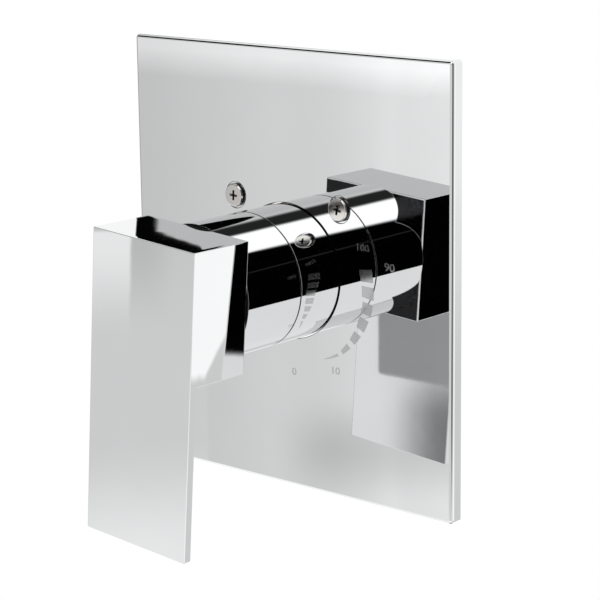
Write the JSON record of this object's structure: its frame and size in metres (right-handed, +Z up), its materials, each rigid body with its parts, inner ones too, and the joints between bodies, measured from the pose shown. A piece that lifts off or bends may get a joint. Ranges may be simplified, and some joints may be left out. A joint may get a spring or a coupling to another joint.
{
  "type": "pressure balance shower valve",
  "caption": "Wall-mounted pressure balance shower valve: square trim plate, blade lever handle, brass body with balance spool cartridge and service stops.",
  "frame": {"origin": "on the valve axis, in the plane of the finished wall that the trim plate's rim rests on", "axes": "+Z up, +X to the right of a person who faces the wall, -Y out of the wall along the valve axis"},
  "size_m": [0.16, 0.1697, 0.1808],
  "materials": {
    "polished_chrome": "mirror-polished chrome plating",
    "chromed_screw": "bright plated screw, finely turned face",
    "cast_brass": "cast and tumbled brass",
    "turned_brass": "turned brass",
    "stainless_steel": "ground stainless steel",
    "white_acetal": "moulded acetal",
    "red_acetal": "moulded acetal",
    "alumina_ceramic": "lapped ceramic",
    "black_rubber": "moulded rubber",
    "grey_foam": "closed-cell foam"
  },
  "bodies": {
    "valve": {"trim_plate": "polished_chrome", "plate_gasket": "grey_foam", "plate_screws": "chromed_screw", "sleeve": "polished_chrome", "sleeve_o_ring": "black_rubber", "valve_body": "cast_brass", "bonnet_nut": "turned_brass", "tub_port_plug": "turned_brass", "cartridge_cap": "turned_brass", "cartridge_housing": "white_acetal", "housing_o_rings": "black_rubber", "inlet_seals": "black_rubber", "fixed_disc": "alumina_ceramic", "disc_seal": "black_rubber", "balance_sleeve": "stainless_steel", "balance_sleeve_o_rings": "black_rubber", "balance_clips": "stainless_steel", "stop_retainers": "turned_brass"},
    "handle": {"handle_lever": "polished_chrome", "handle_skirt": "polished_chrome", "skirt_screws": "stainless_steel", "handle_set_screw": "stainless_steel", "stem_adapter": "turned_brass", "adapter_screw": "stainless_steel", "stem": "turned_brass", "stem_o_rings": "black_rubber", "stem_washer": "white_acetal", "limit_stop_ring": "red_acetal", "moving_disc": "alumina_ceramic"},
    "spool": {"balance_spool": "stainless_steel"},
    "hot_stop": {"hot_stop_plug": "turned_brass", "hot_stop_o_ring": "black_rubber"},
    "cold_stop": {"cold_stop_plug": "turned_brass", "cold_stop_o_ring": "black_rubber"}
  },
  "joints": [
    {"name": "handle_turn", "type": "hinge", "parent": "valve", "child": "handle", "pos_m": [0, -0.03, 0], "axis": [0, -1, 0], "range_deg": [0, 105]},
    {"name": "spool_slide", "type": "slide", "parent": "valve", "child": "spool", "axis": [1, 0, 0], "range_m": [-0.0016, 0.0016]},
    {"name": "hot_stop_turn", "type": "hinge", "parent": "valve", "child": "hot_stop", "pos_m": [-0.031, 0.055, 0], "axis": [0, -1, 0], "range_deg": [0, 90]},
    {"name": "cold_stop_turn", "type": "hinge", "parent": "valve", "child": "cold_stop", "pos_m": [0.031, 0.055, 0], "axis": [0, -1, 0], "range_deg": [0, 90]}
  ]
}
